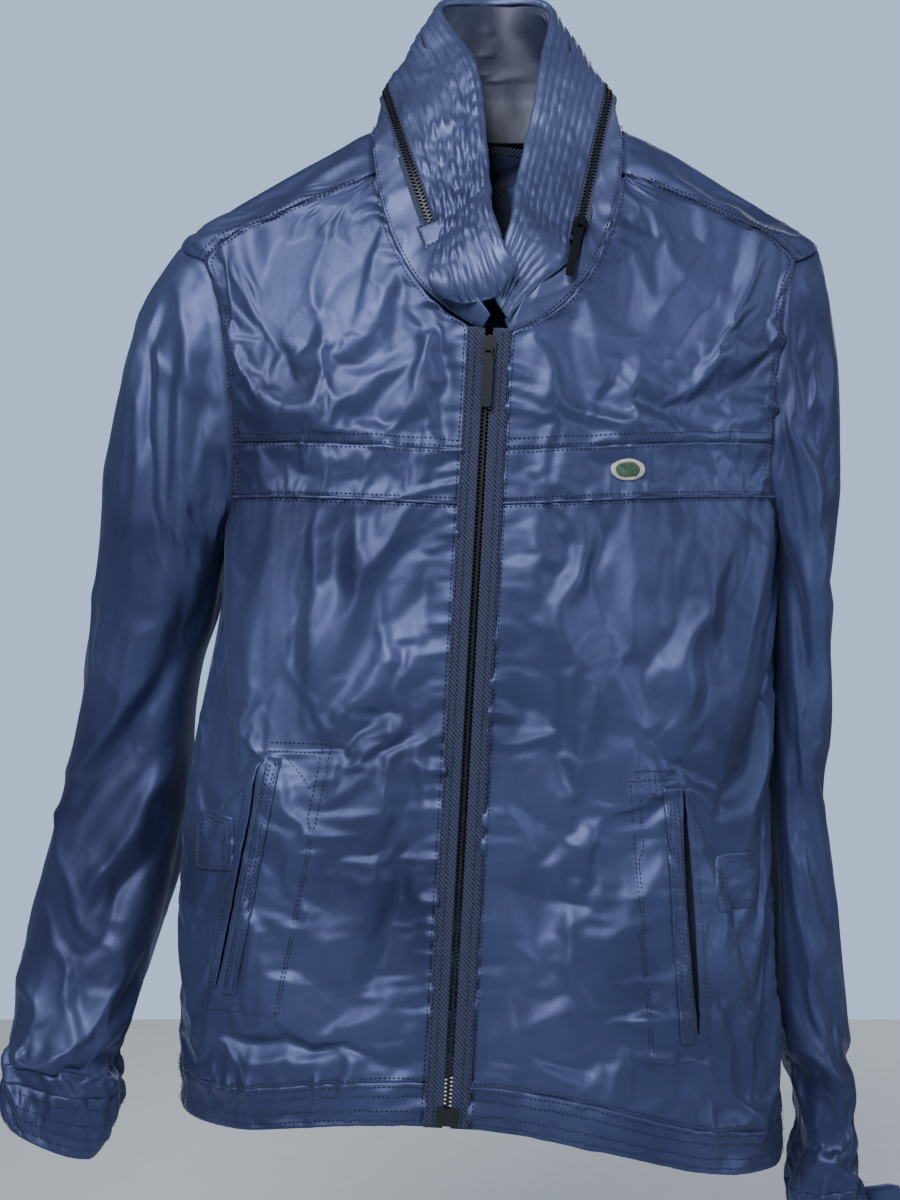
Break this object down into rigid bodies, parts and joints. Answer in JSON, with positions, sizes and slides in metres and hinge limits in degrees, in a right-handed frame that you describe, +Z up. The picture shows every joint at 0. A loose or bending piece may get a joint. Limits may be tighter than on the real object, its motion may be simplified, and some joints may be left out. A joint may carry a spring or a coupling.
{
  "type": "foul weather jacket",
  "caption": "Zipped waist-length nylon foul weather jacket with stand-up collar, stowed hood zip, welt pockets and elastic cuffs.",
  "frame": {"origin": "the point where a hook bears up against the underside of the hang loop, inside the back of the neck", "axes": "+Z up as the jacket hangs, the front faces -Y, the wearer's left is +X"},
  "size_m": [0.668, 0.2004, 0.905],
  "materials": {
    "shell_nylon": "satin",
    "trim_twill": "matte",
    "dark_lining": "matte",
    "blue_mesh": "matte",
    "black_moulded_teeth": "gloss",
    "dark_metal": "satin",
    "badge_face": "matte",
    "label_tape": "matte"
  },
  "bodies": {
    "torso": {"front_upper_right": "shell_nylon", "front_upper_left": "shell_nylon", "chest_band_right": "shell_nylon", "chest_band_left": "shell_nylon", "front_lower_right": "shell_nylon", "front_lower_left": "shell_nylon", "hem_front_right": "shell_nylon", "hem_front_left": "shell_nylon", "hem_back": "shell_nylon", "piping_right": "trim_twill", "piping_left": "trim_twill", "pocket_welt_right": "shell_nylon", "pocket_welt_left": "shell_nylon", "pocket_bag_right": "dark_lining", "pocket_bag_left": "dark_lining", "shoulder_yoke": "shell_nylon", "back_panel": "shell_nylon", "waist_tab_right": "shell_nylon", "waist_tab_left": "shell_nylon", "chest_badge": "badge_face", "collar_lower_band": "shell_nylon", "collar_quilted_band": "shell_nylon", "collar_lining": "dark_lining", "stowed_hood": "shell_nylon", "hood_zip_tape_upper": "trim_twill", "hood_zip_tape_lower": "trim_twill", "hood_zip_teeth_upper": "black_moulded_teeth", "hood_zip_teeth_lower": "black_moulded_teeth", "hood_zip_patch": "trim_twill", "zip_tape_right": "trim_twill", "zip_tape_left": "trim_twill", "zip_teeth_right": "black_moulded_teeth", "zip_teeth_left": "black_moulded_teeth", "zip_box": "black_moulded_teeth", "back_mesh": "blue_mesh", "neck_label": "label_tape", "hang_loop": "trim_twill"},
    "sleeve_right": {"sleeve_right": "shell_nylon", "cuff_right": "shell_nylon"},
    "sleeve_left": {"sleeve_left": "shell_nylon", "cuff_left": "shell_nylon"},
    "cuff_tab_right": {"cuff_tab_right": "shell_nylon"},
    "cuff_tab_left": {"cuff_tab_left": "shell_nylon"},
    "zip_slider": {"zip_slider": "dark_metal"},
    "zip_pull": {"zip_pull": "dark_metal"},
    "hood_slider": {"hood_slider": "dark_metal"},
    "hood_pull": {"hood_pull": "dark_metal"}
  },
  "joints": [
    {"name": "shoulder_right", "type": "hinge", "parent": "torso", "child": "sleeve_right", "pos_m": [-0.2285, -0.036, -0.0735], "axis": [0, 1, 0], "range_deg": [0, 35]},
    {"name": "shoulder_left", "type": "hinge", "parent": "torso", "child": "sleeve_left", "pos_m": [0.231, -0.036, -0.0735], "axis": [0, -1, 0], "range_deg": [0, 35]},
    {"name": "cuff_tab_right_flip", "type": "hinge", "parent": "sleeve_right", "child": "cuff_tab_right", "pos_m": [-0.3522, -0.0642, -0.684], "axis": [0.1587, 0, -0.9873], "range_deg": [0, 60]},
    {"name": "cuff_tab_left_flip", "type": "hinge", "parent": "sleeve_left", "child": "cuff_tab_left", "pos_m": [0.2637, -0.0462, -0.764], "axis": [-0.3113, 0, 0.9503], "range_deg": [0, 60]},
    {"name": "zip_slide", "type": "slide", "parent": "torso", "child": "zip_slider", "axis": [-0.0547, -0.0376, -0.9978], "range_m": [0, 0.485]},
    {"name": "zip_pull_lift", "type": "hinge", "parent": "zip_slider", "child": "zip_pull", "pos_m": [-0.00816, -0.12165, -0.1638], "axis": [-0.9985, 0.0021, 0.0546], "range_deg": [0, 110]},
    {"name": "hood_zip_slide", "type": "slide", "parent": "torso", "child": "hood_slider", "axis": [0.2084, 0.4606, 0.8628], "range_m": [0, 0.11]},
    {"name": "hood_pull_lift", "type": "hinge", "parent": "hood_slider", "child": "hood_pull", "pos_m": [0.05569, -0.09654, -0.07477], "axis": [-0.9625, -0.06, 0.2645], "range_deg": [0, 110]}
  ]
}
